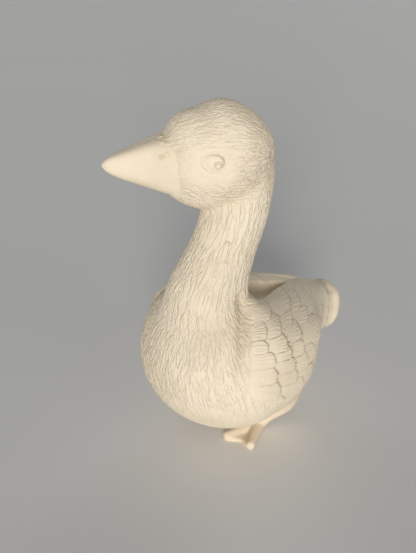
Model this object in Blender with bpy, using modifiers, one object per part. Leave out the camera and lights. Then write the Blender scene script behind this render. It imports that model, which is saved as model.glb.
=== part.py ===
# A standing goose, cast in one piece of clay. Metres, +Z up.
# The breast faces -Y, the tail +Y, and the bird's left side is +X. The origin is on the ground.
import math

import bmesh
import bpy
import numpy as np
from mathutils import Vector

# Main sizes: crown to ground, and beak tip to tail
FIGURE_HEIGHT = 0.207
FIGURE_LENGTH = 0.1605

# Body
BREAST_RADIUS = 0.050
BODY_CENTRE_HEIGHT = 0.059
REAR_LENGTH = FIGURE_LENGTH - 1.1 * BREAST_RADIUS
BACK_HOLLOW_DEPTH = 0.0055
BACK_HOLLOW_WALL = 0.0040
CREST_LIMIT = 0.9
WING_TOP_WIDTH = 0.0050
WING_TOP_FALL = 0.18
NECK_ROOT_REACH = 0.012
BODY_SQUARENESS = 0.88
UNDER_SQUARENESS = 0.82
UNDER_EASE = 0.3
BREAST_FLATTENING = 0.10
BREAST_RINGS = 20
REAR_RINGS = 60

# Head and beak
HEAD_YAW = math.radians(28.0)
HEAD_REACH = 0.009
HEAD_LENGTH = 0.059
HEAD_WIDTH = 0.050
HEAD_RISE = 0.0280
HEAD_DROP = 0.0325
HEAD_HEIGHT = FIGURE_HEIGHT - HEAD_RISE
HEAD_RINGS = 40
HEAD_RING_TURN = 0.62 * math.pi
BEAK_LENGTH = 0.035
BEAK_DEPTH = 0.0346
BEAK_DROOP = 0.0040
BEAK_LIFT = 0.0010
BEAK_WIDTH = 0.026
BEAK_ROOT = 0.35
BEAK_TIP_SHARE = 0.22
BEAK_BLUNTNESS = 10
BEAK_TOP_SQUARENESS = 0.70
BEAK_SIDE_SQUARENESS = 0.85
BEAK_RINGS = 30

# Neck
NECK_RADIUS = 0.0192
NECK_TUCK = 0.029
NECK_TOP_HEIGHT = HEAD_HEIGHT - NECK_TUCK
NECK_ROOT_HEIGHT = BODY_CENTRE_HEIGHT + 0.62 * BREAST_RADIUS
NECK_LENGTH = NECK_TOP_HEIGHT - NECK_ROOT_HEIGHT
NECK_TOP_BACK = 0.009

# Legs and feet
FOOT_SPACING = 0.039
FOOT_STRIDE = 0.010
FOOT_THICKNESS = 0.0050
ANKLE_HEIGHT = 0.60 * FOOT_THICKNESS
WEB_HALF_THICKNESS = 0.36 * FOOT_THICKNESS
FOOT_SPLAY = math.radians(8.0)
TOE_SPREAD = math.radians(46.0)
INNER_TOE = 0.0250
OUTER_TOE = 0.0222
INNER_TOE_RADIUS = 0.0034
OUTER_TOE_RADIUS = 0.0034
HEEL_RADIUS = 0.0048
WEB_DIP = 0.0046
WEB_SINK = 0.0010
WEB_POINTS = 25
WEB_OVERRUN = 0.10
TOE_KNUCKLE = 0.60
TOE_TAPER = 0.75
TOE_SEAT = 0.70
ANKLE_BACK = 0.013
LEG_RADIUS = 0.0078
ANKLE_RADIUS = 0.62 * LEG_RADIUS
KNEE_RADIUS = 0.90 * LEG_RADIUS
HIP_RADIUS = 1.70 * LEG_RADIUS
KNEE = (0.0, 0.005, 0.006)
HIP = (0.001, 0.018, 0.0165)

# Wings: the front edge, the crest and the lower edge, then the feathers
WING_FRONT = -0.0195
WING_FRONT_BEND = 0.074
WING_FRONT_RAKE = 1.4
WING_FRONT_EASE = 0.0022
WING_CREST_PLACE = 0.0292
WING_CREST_TAPER = 0.385
WING_CREST_EASE = 0.0014
WING_LOW = 0.036
WING_LOW_SLOPE = 0.55
WING_LOW_EASE = 0.010
WING_END = 0.0660
WING_FLANK = 0.8
WING_TOP_SHARE = 0.5
WING_OPEN = 0.0360
WING_OPEN_EASE = 0.0060
WING_PROUD = 0.0009
FEATHER_LIFT = 0.0017
FEATHER_ROUNDING = 0.00045
FEATHER_TIP_ROUND = 0.85
FEATHER_SIDE_SLOPE = 1.6
FEATHER_ROOT_LIFT = 0.12
FEATHER_SIDE_LIFT = 0.55
FEATHER_RIM_LIFT = 0.35
FEATHER_RISE = 1.2
FEATHER_DROOP = 0.28
FEATHER_LOW_DROOP = 0.20
FEATHER_LOW = 0.30

# Tail
TAIL_PLATE_START = 0.088
TAIL_PLATE_PROUD = 0.0011
TAIL_STEP_EASE = 0.0020
TAIL_BASE_SINK = 0.0009
TAIL_BARB_WIDTH = 0.0050
TAIL_FEATHER_WIDTH = 0.0150
TAIL_BULGE = 0.0012
TAIL_GROOVE = 0.5
TAIL_BARB_SHARE = 0.6

# Eyes and nostrils, placed from the middle of the head
EYE_FORWARD = 0.0100
EYE_LIFT = 0.0011
EYE_RADIUS = 0.0056
EYE_STRETCH = 1.08
LID_RISE = 0.0006
LID_WIDTH = 0.0011
SOCKET_RADIUS = 0.0045
SOCKET_EASE = 0.0012
SOCKET_DEPTH = 0.0010
BEAD_BACK = 0.0023
BEAD_DOWN = 0.0012
BEAD_RADIUS = 0.0020
BEAD_RISE = 0.0007
NOSTRIL_FORWARD = 0.0054
NOSTRIL_LIFT = 0.0026
NOSTRIL_DEPTH = 0.0013
NOSTRIL_RADIUS = 0.0010
NOSTRIL_STRETCH = 1.5
NOSTRIL_LIP = 0.35
FACE_SIDE = 0.0030
TEMPLE_SIDE = 0.22 * HEAD_WIDTH

# Working sizes
VOXEL = 0.0010
BLEND_ROUNDS = 5
BREAST_BLEND_ROUNDS = 140
NAPE_BLEND_ROUNDS = 40
TRIANGLES = 11400
SECTION_POINTS = 128
TUBE_RINGS = 28
TUBE_LOOK = 0.01
UPRIGHT = 0.05
THIN = 0.0004
TOUCH = 0.00001
CLAY_COLOUR = (0.82, 0.76, 0.64, 1.0)

# Stations of the rear body. Place as a share of the rear length; half width, level of the widest
# point, wing crest and underside as shares of the breast radius about the body's centre
REAR_STATIONS = (
    (0.00, 1.00, 0.00, 0.760, -1.00),
    (0.18, 0.97, 0.02, 0.648, -1.00),
    (0.40, 0.80, 0.08, 0.550, -0.96),
    (0.61, 0.44, 0.08, 0.438, -0.62),
    (0.75, 0.29, 0.02, 0.300, -0.46),
    (0.86, 0.25, -0.04, 0.21, -0.48),
    (0.95, 0.23, -0.08, 0.16, -0.46),
    (1.00, 0.00, -0.14, -0.14, -0.14),
)

# Wing feathers, front rows first. Tip behind the breast's centre, tip up the girth from the body's
# centre, half width and length, as shares of the breast radius
FEATHERS = (
    (-0.11, 0.65, 0.084, 0.32),
    (-0.12, 0.488, 0.092, 0.32),
    (-0.104, 0.308, 0.104, 0.34),
    (-0.092, 0.10, 0.12, 0.36),
    (-0.02, -0.12, 0.12, 0.44),
    (0.07, -0.31, 0.116, 0.52),
    (0.184, 0.752, 0.092, 0.36),
    (0.152, 0.592, 0.080, 0.36),
    (0.128, 0.428, 0.100, 0.36),
    (0.184, 0.232, 0.108, 0.36),
    (0.27, 0.032, 0.112, 0.40),
    (0.36, -0.168, 0.116, 0.44),
    (0.48, -0.36, 0.116, 0.48),
    (0.41, 0.78, 0.100, 0.36),
    (0.42, 0.58, 0.088, 0.36),
    (0.472, 0.416, 0.096, 0.40),
    (0.412, 0.252, 0.088, 0.36),
    (0.488, 0.08, 0.108, 0.36),
    (0.56, -0.112, 0.112, 0.36),
    (0.66, -0.292, 0.116, 0.36),
    (1.23, 0.66, 0.152, 0.68),
    (0.69, 0.40, 0.100, 0.36),
    (0.84, 0.18, 0.136, 0.48),
)


def through(stations, at):
    """Reads a smooth curve through the stations (first column: place) at the place given."""
    table = np.array(stations)
    keys = table[:, 0]
    slopes = np.gradient(table, keys, axis=0)
    index = int(np.clip(np.searchsorted(keys, at) - 1, 0, len(keys) - 2))
    gap = keys[index + 1] - keys[index]
    u = (at - keys[index]) / gap
    start = (1 + 2 * u) * (1 - u) ** 2
    end = u * u * (3 - 2 * u)
    leave = u * (1 - u) ** 2 * gap
    arrive = -u * u * (1 - u) * gap
    here = start * table[index] + end * table[index + 1]
    return here + leave * slopes[index] + arrive * slopes[index + 1]


def ramp(value, start, end):
    """0 before the start, 1 past the end, and an even ease between."""
    share = np.clip((value - start) / (end - start), 0, 1)
    return share * share * (3 - 2 * share)


def crest_place(y):
    """How far out from the middle a wing's top edge lies."""
    return WING_CREST_PLACE - WING_CREST_TAPER * y


def loft(name, rings):
    """A closed skin over rings of points; the two end rings are closed with a face each."""
    shape = bmesh.new()
    rows = [[shape.verts.new(point) for point in ring] for ring in rings]
    count = len(rings[0])
    for low, high in zip(rows, rows[1:]):
        for i in range(count):
            j = (i + 1) % count
            shape.faces.new((low[i], low[j], high[j], high[i]))
    shape.faces.new(rows[0])
    shape.faces.new(rows[-1])
    bmesh.ops.recalc_face_normals(shape, faces=shape.faces)
    mesh = bpy.data.meshes.new(name)
    shape.to_mesh(mesh)
    shape.free()
    piece = bpy.data.objects.new(name, mesh)
    bpy.context.scene.collection.objects.link(piece)
    return piece


def section(centre, across, up, half_width, rise, drop, square=1.0, top_square=None):
    """One closed ring: an oval with its own rise above and drop below the centre."""
    turns = np.linspace(0, 2 * math.pi, SECTION_POINTS, endpoint=False)
    power = np.where(np.sin(turns) > 0, top_square or square, square)
    side = np.sign(np.cos(turns)) * np.abs(np.cos(turns)) ** power * half_width
    lift = np.sign(np.sin(turns)) * np.abs(np.sin(turns)) ** power
    lift = np.where(lift > 0, lift * rise, lift * drop)
    return [centre + across * s + up * l for s, l in zip(side, lift)]


def build_body():
    across = Vector((1, 0, 0))
    up = Vector((0, 0, 1))
    rings = []
    for turn in np.linspace(0.03, 0.5, BREAST_RINGS, endpoint=False):
        y = -BREAST_RADIUS * math.cos(math.pi * turn)
        radius = BREAST_RADIUS * math.sin(math.pi * turn)
        nearness = math.sin(math.pi * turn) ** 4
        centre = Vector((0, y, BODY_CENTRE_HEIGHT))
        rings.append(section(centre, across, up, radius, radius * (1 - BREAST_FLATTENING * nearness), radius,
                             1 - (1 - BODY_SQUARENESS) * nearness))
    for place in np.sin(np.linspace(0, 0.495 * math.pi, REAR_RINGS)):
        _, width, level, crest, bottom = through(REAR_STATIONS, place)
        y = place * REAR_LENGTH
        centre = Vector((0, y, BODY_CENTRE_HEIGHT + level * BREAST_RADIUS))
        half = max(width * BREAST_RADIUS, THIN)
        reach = min(max(crest_place(y), 0.0), CREST_LIMIT * half)
        crest_share = (1 - (reach / half) ** (2 / BODY_SQUARENESS)) ** (BODY_SQUARENESS / 2)
        crest_rise = max((crest - level) * BREAST_RADIUS, THIN)
        drop = max((level - bottom) * BREAST_RADIUS, THIN)
        under = BODY_SQUARENESS + (UNDER_SQUARENESS - BODY_SQUARENESS) * ramp(place, 0, UNDER_EASE)
        ring = section(centre, across, up, half, crest_rise / crest_share, drop, under, BODY_SQUARENESS)
        clear_of_neck = ramp(y, 0, NECK_ROOT_REACH)
        for point in ring:
            inside = reach - abs(point.x)
            if point.z > centre.z and inside > 0:
                sunk = centre.z + crest_rise - WING_TOP_FALL * inside
                sunk -= BACK_HOLLOW_DEPTH * ramp(inside, WING_TOP_WIDTH, WING_TOP_WIDTH + BACK_HOLLOW_WALL)
                point.z += (sunk - point.z) * clear_of_neck
        rings.append(ring)
    return loft("body", rings)


def tube(name, path, radii):
    """A round bar through the path's points, with its own radius at each one."""
    keys = np.linspace(0, 1, len(path))
    table = [(k, *p, r) for k, p, r in zip(keys, path, radii)]
    rings = []
    last = None
    for place in np.linspace(0, 1, TUBE_RINGS):
        here = through(table, place)
        ahead = through(table, min(place + TUBE_LOOK, 1.0))
        behind = through(table, max(place - TUBE_LOOK, 0.0))
        along = Vector(ahead[1:4] - behind[1:4]).normalized()
        across = along.cross(Vector((0, 0, 1)))
        if across.length < UPRIGHT:
            across = Vector((1, 0, 0))
        across = (across - along * across.dot(along)).normalized()
        if last is not None and across.dot(last) < 0:
            across = -across
        last = across
        up = across.cross(along).normalized()
        rings.append(section(Vector(here[1:4]), across, up, here[4], here[4], here[4]))
    return loft(name, rings)


# Neck stations: back and up from the neck's top as shares of the neck's length, then the radius as a
# share of the neck's radius
NECK_STATIONS = (
    (0.017, 0.433, 0.94),
    (0.017, 0.283, 1.06),
    (0.000, 0.000, 1.01),
    (-0.062, -0.217, 0.97),
    (-0.167, -0.433, 0.98),
    (-0.275, -0.633, 1.08),
    (-0.355, -0.833, 1.27),
    (-0.358, -1.000, 1.47),
    (-0.342, -1.167, 1.74),
    (-0.300, -1.367, 2.02),
)


def build_neck():
    top = Vector((0, NECK_TOP_BACK, NECK_TOP_HEIGHT))
    path = [top + Vector((0, back, rise)) * NECK_LENGTH for back, rise, _ in NECK_STATIONS]
    radii = [share * NECK_RADIUS for _, _, share in NECK_STATIONS]
    return tube("neck", path, radii)


def head_frame():
    forward = Vector((-math.sin(HEAD_YAW), -math.cos(HEAD_YAW), 0))
    side = Vector((math.cos(HEAD_YAW), -math.sin(HEAD_YAW), 0))
    centre = Vector((0, NECK_TOP_BACK, HEAD_HEIGHT)) + forward * HEAD_REACH
    return centre, forward, side


# Head stations: place along the head from back to front, half width, rise, drop as shares
HEAD_STATIONS = (
    (-1.00, 0.00, 0.00, 0.10),
    (-0.93, 0.36, 0.26, 0.50),
    (-0.78, 0.62, 0.53, 0.78),
    (-0.45, 0.90, 0.83, 0.96),
    (-0.05, 1.00, 0.99, 1.00),
    (0.40, 0.90, 0.88, 0.97),
    (0.75, 0.70, 0.77, 0.84),
    (0.97, 0.52, 0.57, 0.69),
    (1.06, 0.44, 0.30, 0.60),
)


def build_head():
    centre, forward, side = head_frame()
    up = Vector((0, 0, 1))
    rings = []
    back, front = HEAD_STATIONS[0][0], HEAD_STATIONS[-1][0]
    for turn in np.linspace(0.02, 1, HEAD_RINGS) * HEAD_RING_TURN:
        place = back + (front - back) * (1 - math.cos(turn)) / (1 - math.cos(HEAD_RING_TURN))
        _, width, rise, drop = through(HEAD_STATIONS, place)
        middle = centre + forward * (place * HEAD_LENGTH / 2)
        rings.append(section(middle, side, up, max(width * HEAD_WIDTH / 2, THIN),
                             max(rise * HEAD_RISE, THIN), max(drop * HEAD_DROP, THIN)))
    return loft("head", rings)


def build_beak():
    """A stout cone with a flattened top, from inside the head to the blunt tip."""
    centre, forward, side = head_frame()
    up = Vector((0, 0, 1))
    base = centre + forward * (HEAD_LENGTH / 2) - up * BEAK_DROOP
    rings = []
    for place in np.sin(np.linspace(-BEAK_ROOT, 0.49 * math.pi, BEAK_RINGS)):
        size = 1 - (1 - BEAK_TIP_SHARE) * max(place, 0) + BEAK_TIP_SHARE * min(place, 0)
        size *= math.sqrt(1 - max(place, 0) ** BEAK_BLUNTNESS)
        middle = base + forward * (place * BEAK_LENGTH) + up * (BEAK_LIFT * place)
        rings.append(section(middle, side, up, BEAK_WIDTH / 2 * size, BEAK_DEPTH / 2 * size,
                             BEAK_DEPTH / 2 * size, BEAK_SIDE_SQUARENESS, BEAK_TOP_SQUARENESS))
    return loft("beak", rings)


def build_foot(hand):
    """One leg with its webbed foot; hand is +1 on the left side and -1 on the right."""
    set_back = FOOT_STRIDE if hand < 0 else 0.0
    ankle = Vector((hand * FOOT_SPACING / 2, ANKLE_BACK + set_back, ANKLE_HEIGHT))
    knee = ankle + Vector((hand * KNEE[0], KNEE[1], KNEE[2]))
    hip = ankle + Vector((hand * HIP[0], HIP[1], HIP[2]))
    pieces = [tube("leg", [ankle, knee, hip], [ANKLE_RADIUS, KNEE_RADIUS, HIP_RADIUS])]
    turns = [FOOT_SPLAY * hand + TOE_SPREAD * hand * share for share in (-0.5, 0.5)]
    toes = ((turns[0], INNER_TOE, INNER_TOE_RADIUS), (turns[1], OUTER_TOE, OUTER_TOE_RADIUS))
    for turn, length, radius in toes:
        tip = ankle + Vector((math.sin(turn), -math.cos(turn), 0)) * length
        tip.z = radius * TOE_SEAT
        knuckle = ankle.lerp(tip, TOE_KNUCKLE)
        pieces.append(tube("toe", [ankle, knuckle, tip], [HEEL_RADIUS, radius, radius * TOE_TAPER]))
    outline = bpy.data.curves.new("web", "CURVE")
    outline.dimensions = "2D"
    outline.fill_mode = "BOTH"
    outline.extrude = WEB_HALF_THICKNESS
    fan = []
    for share in np.linspace(-WEB_OVERRUN, 1 + WEB_OVERRUN, WEB_POINTS):
        turn = turns[0] + (turns[1] - turns[0]) * share
        inside = min(max(share, 0), 1)
        reach = INNER_TOE + (OUTER_TOE - INNER_TOE) * inside - WEB_DIP * math.sin(inside * math.pi) ** 2
        fan.append((ankle.x + math.sin(turn) * reach, ankle.y - math.cos(turn) * reach))
    fan.append((ankle.x, ankle.y + HEEL_RADIUS))
    spline = outline.splines.new("POLY")
    spline.points.add(len(fan) - 1)
    for point, place in zip(spline.points, fan):
        point.co = (*place, 0, 1)
    spline.use_cyclic_u = True
    drawn = bpy.data.objects.new("web_outline", outline)
    bpy.context.scene.collection.objects.link(drawn)
    drawn.location.z = WEB_HALF_THICKNESS - WEB_SINK
    bpy.context.view_layer.update()
    mesh = bpy.data.meshes.new_from_object(drawn.evaluated_get(bpy.context.evaluated_depsgraph_get()))
    web = bpy.data.objects.new("web", mesh)
    web.matrix_world = drawn.matrix_world
    bpy.context.scene.collection.objects.link(web)
    bpy.data.objects.remove(drawn)
    welded = bmesh.new()
    welded.from_mesh(mesh)
    bmesh.ops.remove_doubles(welded, verts=welded.verts, dist=TOUCH)
    welded.to_mesh(mesh)
    welded.free()
    pieces.append(web)
    return pieces


def apply_modifier(piece, kind, **settings):
    bpy.context.view_layer.objects.active = piece
    modifier = piece.modifiers.new(kind.lower(), kind)
    for name, value in settings.items():
        setattr(modifier, name, value)
    bpy.ops.object.modifier_apply(modifier=modifier.name)


def fuse(pieces):
    bpy.ops.object.select_all(action="DESELECT")
    for piece in pieces:
        piece.select_set(True)
    bpy.context.view_layer.objects.active = pieces[0]
    bpy.ops.object.join()
    goose = pieces[0]
    goose.name = "goose_figurine"
    goose.data.name = "goose_figurine"
    apply_modifier(goose, "REMESH", mode="VOXEL", voxel_size=VOXEL)
    return goose


def points_of(mesh):
    flat = np.empty(len(mesh.vertices) * 3)
    mesh.vertices.foreach_get("co", flat)
    return flat.reshape(-1, 3)


def normals_of(mesh):
    flat = np.empty(len(mesh.vertices) * 3)
    mesh.vertices.foreach_get("normal", flat)
    return flat.reshape(-1, 3)


def soften(goose, shares, rounds):
    """Smooths the skin by each point's share."""
    group = goose.vertex_groups.new(name="soft")
    for index in np.flatnonzero(shares > 0.01):
        group.add([int(index)], float(shares[index]), "REPLACE")
    apply_modifier(goose, "SMOOTH", factor=0.5, iterations=rounds, vertex_group="soft")
    goose.vertex_groups.remove(goose.vertex_groups["soft"])


def ease_joins(goose):
    """Runs the neck into the breast and the nape into the head; throat and neck root stay crisp."""
    points = points_of(goose.data)
    x, y, z = points.T
    breast = 1 - ramp(np.abs(z - NECK_ROOT_HEIGHT), 0.12 * BREAST_RADIUS, 0.62 * BREAST_RADIUS)
    breast *= 1 - ramp(y, -0.16 * BREAST_RADIUS, 0.12 * BREAST_RADIUS)
    soften(goose, breast, BREAST_BLEND_ROUNDS)
    nape_join = HEAD_HEIGHT - HEAD_DROP * 0.35
    nape = 1 - ramp(np.abs(z - nape_join), 0.37 * HEAD_DROP, 0.68 * HEAD_DROP)
    nape *= ramp(y - NECK_TOP_BACK, 0.1 * NECK_RADIUS, 0.52 * NECK_RADIUS)
    soften(goose, nape, NAPE_BLEND_ROUNDS)
    apply_modifier(goose, "SMOOTH", factor=0.5, iterations=BLEND_ROUNDS)


def wing_cover(points, normals):
    """1 where a folded wing lies, and 0 off it."""
    x, y, z = points.T
    outer = ramp(normals[:, 0] * np.sign(x), 0.02, 0.25)
    raked = np.maximum(z - WING_FRONT_BEND, 0) ** 2 / BREAST_RADIUS
    front = WING_FRONT + WING_FRONT_RAKE * raked
    low = np.maximum(WING_LOW - WING_LOW_SLOPE * y, BODY_CENTRE_HEIGHT - 0.72 * BREAST_RADIUS)
    crest = crest_place(y)
    cover = outer * ramp(y, front, front + WING_FRONT_EASE) * ramp(z, low, low + WING_LOW_EASE)
    cover = cover * ramp(np.abs(x), crest - WING_CREST_EASE / 2, crest + WING_CREST_EASE / 2)
    return cover * (1 - ramp(y, WING_END - WING_FRONT_EASE / 2, WING_END + WING_FRONT_EASE / 2))


def wing_relief(points, normals):
    """Height of the folded wings' feathers, each front row lying on the row behind it."""
    x, y, z = points.T
    girth = z - BODY_CENTRE_HEIGHT + WING_TOP_SHARE * np.maximum(WING_FLANK * BREAST_RADIUS - np.abs(x), 0)
    height = np.zeros(len(points))
    pad = 1 - ramp(y, WING_OPEN, WING_OPEN + WING_OPEN_EASE)
    for tip_back, tip_height, half_width, length in reversed(FEATHERS):
        tip_back, half_width, length = (size * BREAST_RADIUS for size in (tip_back, half_width, length))
        droop = FEATHER_DROOP + FEATHER_LOW_DROOP * max(0.0, FEATHER_LOW - tip_height)
        behind = tip_back - y
        off = girth - tip_height * BREAST_RADIUS - droop * behind
        across = off / half_width
        crown = np.sqrt(np.clip(1 - across ** 2, 0, 1))
        end = FEATHER_TIP_ROUND * half_width * (1 - crown)
        inside = (np.abs(across) < 1) & (behind > end) & (behind < length)
        rim = np.minimum(behind - end, (1 - np.abs(across)) * half_width * FEATHER_SIDE_SLOPE)
        rounding = 1 - np.exp(-np.maximum(rim, 0) / FEATHER_ROUNDING)
        share = np.clip(1 - behind / length, 0, 1)
        lift = FEATHER_ROOT_LIFT + (1 - FEATHER_ROOT_LIFT) * share ** FEATHER_RISE
        lift *= FEATHER_SIDE_LIFT + (1 - FEATHER_SIDE_LIFT) * crown
        lift *= FEATHER_RIM_LIFT + (1 - FEATHER_RIM_LIFT) * rounding
        height = np.where(inside, lift, height)
        pad = np.where(inside, 1, pad)
    return wing_cover(points, normals) * (WING_PROUD * pad + FEATHER_LIFT * height)


def on_head(points):
    """Points as lengths along the head, across it and up from its middle."""
    centre, forward, side = head_frame()
    relative = points - np.array(centre)
    return relative @ np.array(forward), relative @ np.array(side), relative[:, 2]


def eye_relief(points):
    """The soft lid ring, the sunk socket inside it and the raised bead, on both sides."""
    along, across, lift = on_head(points)
    ahead = (along - EYE_FORWARD) / EYE_STRETCH
    above = lift - EYE_LIFT
    reach = np.sqrt(ahead ** 2 + above ** 2)
    height = LID_RISE * np.exp(-((reach - EYE_RADIUS) / LID_WIDTH) ** 2)
    height -= SOCKET_DEPTH * (1 - ramp(reach, SOCKET_RADIUS - SOCKET_EASE, SOCKET_RADIUS))
    bead = np.sqrt((ahead + BEAD_BACK) ** 2 + (above + BEAD_DOWN) ** 2)
    height += (SOCKET_DEPTH + BEAD_RISE) * np.sqrt(np.clip(1 - (bead / BEAD_RADIUS) ** 2, 0, 1))
    return np.where(np.abs(across) > TEMPLE_SIDE, height, 0)


def nostril_relief(points):
    along, across, lift = on_head(points)
    along = (along - HEAD_LENGTH / 2 - NOSTRIL_FORWARD) / NOSTRIL_STRETCH
    reach = np.sqrt(along ** 2 + (lift - NOSTRIL_LIFT) ** 2)
    pit = -NOSTRIL_DEPTH * np.exp(-(reach / NOSTRIL_RADIUS) ** 2)
    lip = NOSTRIL_LIP * NOSTRIL_DEPTH * np.exp(-((reach - 2 * NOSTRIL_RADIUS) / (0.7 * NOSTRIL_RADIUS)) ** 2)
    return np.where(np.abs(across) > FACE_SIDE, pit + lip, 0)


def tail_relief(points):
    """Broad tail feathers, their rounded roots a little proud of the covert feathers before them."""
    y, z = points[:, 1], points[:, 2]
    turn = (z - BODY_CENTRE_HEIGHT) / TAIL_FEATHER_WIDTH + 0.5
    crown = np.sqrt(1 - (2 * (turn - np.floor(turn)) - 1) ** 2)
    start = TAIL_PLATE_START + TAIL_BULGE * (1 - crown)
    plate = ramp(y, start, start + TAIL_STEP_EASE)
    coverts = ramp(y, WING_END, WING_END + TAIL_STEP_EASE) * (1 - plate)
    barbs = 0.5 + 0.5 * np.cos(2 * math.pi * z / TAIL_BARB_WIDTH)
    grooves = (1 - crown) * ramp(y, start, start + 5 * TAIL_STEP_EASE)
    height = plate * TAIL_PLATE_PROUD * (1 - TAIL_GROOVE * grooves)
    return height - TAIL_BASE_SINK * coverts * (1 - TAIL_BARB_SHARE * barbs)


def carve(goose):
    points = points_of(goose.data)
    normals = normals_of(goose.data)
    height = wing_relief(points, normals) + tail_relief(points)
    height += eye_relief(points) + nostril_relief(points)
    points += normals * height[:, None]
    goose.data.vertices.foreach_set("co", points.ravel())
    goose.data.update()


def stand_on_ground(goose):
    """Cuts the soles flat on the ground, closes the cut and sets the figure over the origin."""
    shape = bmesh.new()
    shape.from_mesh(goose.data)
    everything = shape.verts[:] + shape.edges[:] + shape.faces[:]
    bmesh.ops.bisect_plane(shape, geom=everything, plane_co=(0, 0, 0), plane_no=(0, 0, 1),
                           clear_inner=True, dist=TOUCH)
    for point in shape.verts:
        if point.co.z < TOUCH:
            point.co.z = 0.0
    rim = [e for e in shape.edges if e.is_boundary]
    bmesh.ops.holes_fill(shape, edges=rim, sides=0)
    bmesh.ops.triangulate(shape, faces=[f for f in shape.faces if len(f.verts) > 3])
    bmesh.ops.recalc_face_normals(shape, faces=shape.faces)
    lows = [min(v.co[axis] for v in shape.verts) for axis in (0, 1)]
    highs = [max(v.co[axis] for v in shape.verts) for axis in (0, 1)]
    shift = [-(low + high) / 2 for low, high in zip(lows, highs)]
    bmesh.ops.translate(shape, verts=shape.verts, vec=(shift[0], shift[1], 0))
    shape.to_mesh(goose.data)
    shape.free()


def main():
    for old in list(bpy.data.objects):
        bpy.data.objects.remove(old, do_unlink=True)
    pieces = [build_body(), build_neck(), build_head(), build_beak()]
    for hand in (1, -1):
        pieces += build_foot(hand)
    goose = fuse(pieces)
    ease_joins(goose)
    carve(goose)
    count = len(goose.data.polygons) * 2
    apply_modifier(goose, "DECIMATE", ratio=min(1.0, TRIANGLES / count), use_collapse_triangulate=True)
    stand_on_ground(goose)
    clay = bpy.data.materials.new("bisque")
    clay.use_nodes = True
    shader = clay.node_tree.nodes["Principled BSDF"]
    shader.inputs["Base Color"].default_value = CLAY_COLOUR
    shader.inputs["Roughness"].default_value = 0.85
    goose.data.materials.clear()
    goose.data.materials.append(clay)
    goose.data.shade_smooth()
    group = bpy.data.collections.new("goose_figurine")
    bpy.context.scene.collection.children.link(group)
    for holder in list(goose.users_collection):
        holder.objects.unlink(goose)
    group.objects.link(goose)


main()
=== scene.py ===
import itertools
import math
import random

import bpy
import numpy as np
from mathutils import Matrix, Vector, kdtree
from mathutils.bvhtree import BVHTree


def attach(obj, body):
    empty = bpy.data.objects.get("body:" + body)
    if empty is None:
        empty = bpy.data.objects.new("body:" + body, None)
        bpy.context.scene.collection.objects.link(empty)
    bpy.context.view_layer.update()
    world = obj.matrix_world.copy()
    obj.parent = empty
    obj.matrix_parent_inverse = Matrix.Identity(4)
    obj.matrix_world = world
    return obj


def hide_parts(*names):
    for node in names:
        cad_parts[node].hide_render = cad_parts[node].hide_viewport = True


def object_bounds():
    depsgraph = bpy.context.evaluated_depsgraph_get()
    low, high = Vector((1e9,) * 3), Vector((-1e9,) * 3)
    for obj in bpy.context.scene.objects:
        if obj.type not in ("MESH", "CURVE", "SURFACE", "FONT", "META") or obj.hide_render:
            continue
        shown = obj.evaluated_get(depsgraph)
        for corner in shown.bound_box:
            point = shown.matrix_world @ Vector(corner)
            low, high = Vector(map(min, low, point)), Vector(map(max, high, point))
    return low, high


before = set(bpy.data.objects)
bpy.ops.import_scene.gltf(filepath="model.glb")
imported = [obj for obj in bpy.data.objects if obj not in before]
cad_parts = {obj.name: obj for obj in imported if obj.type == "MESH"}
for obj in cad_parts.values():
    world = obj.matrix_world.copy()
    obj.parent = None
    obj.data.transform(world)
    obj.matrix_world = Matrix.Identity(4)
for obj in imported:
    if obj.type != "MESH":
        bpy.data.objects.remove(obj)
cast_low, cast_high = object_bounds()

# The goose's own sizes, in metres; its breast faces -Y and its left side is +X
BREAST_RADIUS = 0.050
BODY_HEIGHT = 0.059
BELLY_SHARE = 0.965
REAR_LENGTH = 0.1055
BACK_HOLLOW_DEPTH = 0.0055
BACK_HOLLOW_WALL = 0.0040
WING_TOP_WIDTH = 0.0070
WING_TOP_FALL = 0.18
NECK_ROOT_REACH = 0.012
BODY_SQUARENESS = 0.88
UNDER_SQUARENESS = 0.82
NECK_RADIUS = 0.0192
NECK_TOP = Vector((0, 0.009, 0.150))
HEAD_YAW = math.radians(28.0)
HEAD_MIDDLE_HEIGHT = 0.179
HEAD_REACH = 0.009
HEAD_LENGTH = 0.059
HEAD_WIDTH = 0.050
HEAD_RISE = 0.0280
HEAD_DROP = 0.0325
BEAK_LENGTH = 0.035
BEAK_DEPTH = 0.0346
BEAK_DROOP = 0.0040
BEAK_LIFT = 0.0010
BEAK_WIDTH = 0.026
BEAK_TIP_SHARE = 0.22
BEAK_TOP_SHARE = 0.92
FOOT_SPACING = 0.039
FOOT_STRIDE = 0.010
FOOT_THICKNESS = 0.0050
FOOT_SPLAY = math.radians(8.0)
TOE_SPREAD = math.radians(46.0)
INNER_TOE = 0.0250
OUTER_TOE = 0.0222
TOE_RADIUS = 0.0034
HEEL_RADIUS = 0.0048
WEB_DIP = 0.0046
WEB_SINK = 0.0010
LEG_RADIUS = 0.0078

LEG_SHARES = (0.62, 0.95, 1.75, 1.2)
BEAK_SQUARENESS = 0.85
BEAK_TOP_SQUARENESS = 0.55

CLAY_LUMP = 0.0010
CLAY_TRIANGLES = 198000
ROUND_POINTS = 128
BREAST_RINGS = 20
REAR_RINGS = 60
HEAD_RINGS = 40
BEAK_RINGS = 30
ROLL_RINGS = 28
WEB_POINTS = 25
BREAST_FLATTENING = 0.1
THINNEST = 0.0004
HEAD_THINNEST = 0.0003
WELD_DISTANCE = 0.000001
SOLE_DISTANCE = 0.00001

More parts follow.
